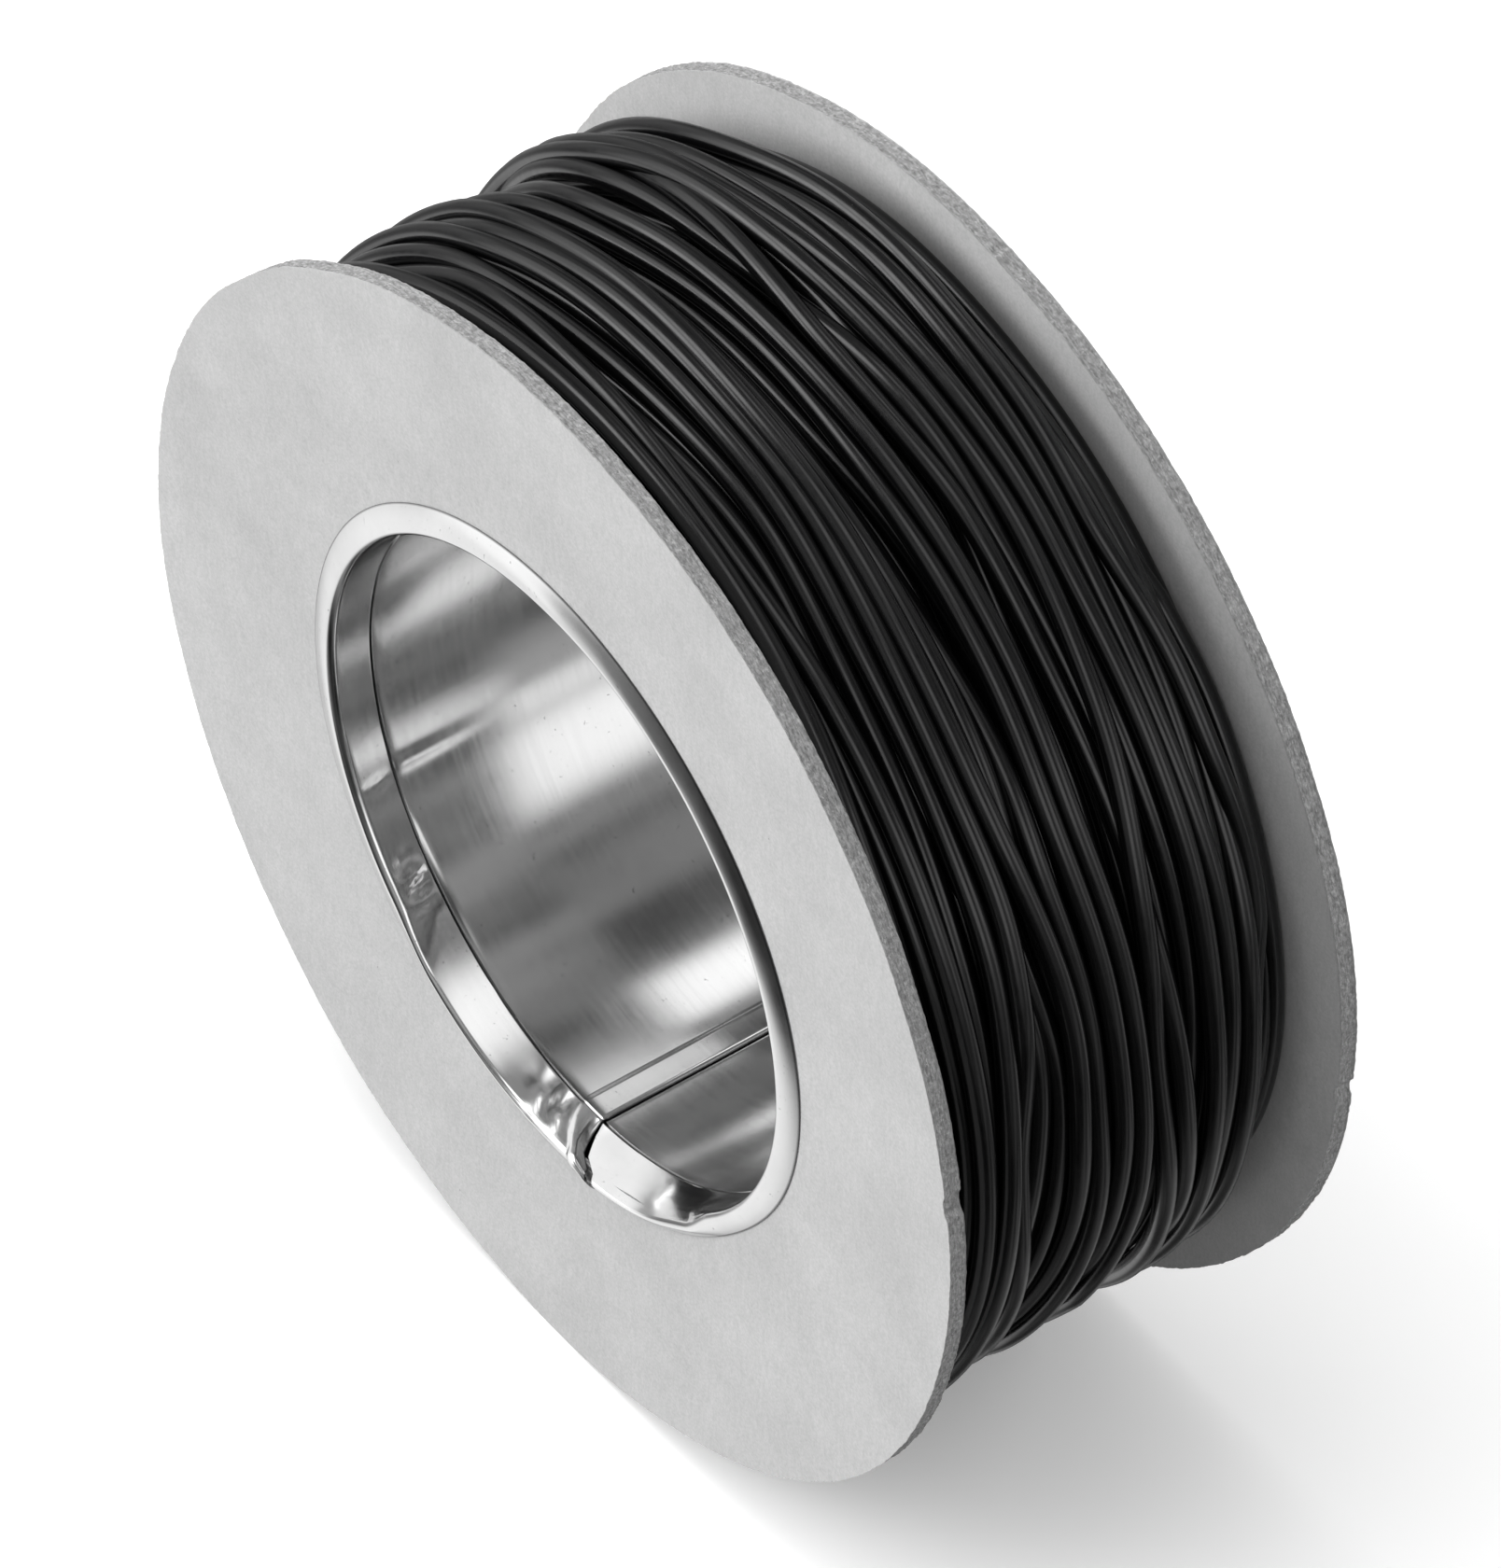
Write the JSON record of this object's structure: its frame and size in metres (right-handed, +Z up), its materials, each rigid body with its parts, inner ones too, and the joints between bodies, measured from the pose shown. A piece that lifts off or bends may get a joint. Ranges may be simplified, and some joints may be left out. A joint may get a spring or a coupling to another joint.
{
  "type": "filament spool",
  "caption": "Wound filament spool: a seamed tinplate core curled over two faced greyboard flanges, full of soft black round filament.",
  "frame": {"origin": "centre of the bore, half way along the spool", "axes": "+Y along the spool's axis, from the front flange to the rear one; +Z up, with the core's seam at the bottom, the spool standing on its flanges' rims"},
  "size_m": [0.165, 0.0628, 0.165],
  "materials": {
    "tinplate": "satin",
    "greyboard": "matte",
    "facing_paper": "matte",
    "filament": "matte"
  },
  "bodies": {
    "root": {"core_tube": "tinplate", "front_flange_board": "greyboard", "front_flange_outer_facing": "facing_paper", "front_flange_inner_facing": "facing_paper", "rear_flange_board": "greyboard", "rear_flange_outer_facing": "facing_paper", "rear_flange_inner_facing": "facing_paper", "filament_layer_01": "filament", "filament_layer_02": "filament", "filament_layer_03": "filament", "filament_layer_04": "filament", "filament_layer_05": "filament", "filament_layer_06": "filament", "filament_layer_07": "filament", "filament_layer_08": "filament", "filament_layer_09": "filament", "filament_layer_10": "filament", "filament_layer_11": "filament"}
  },
  "joints": []
}
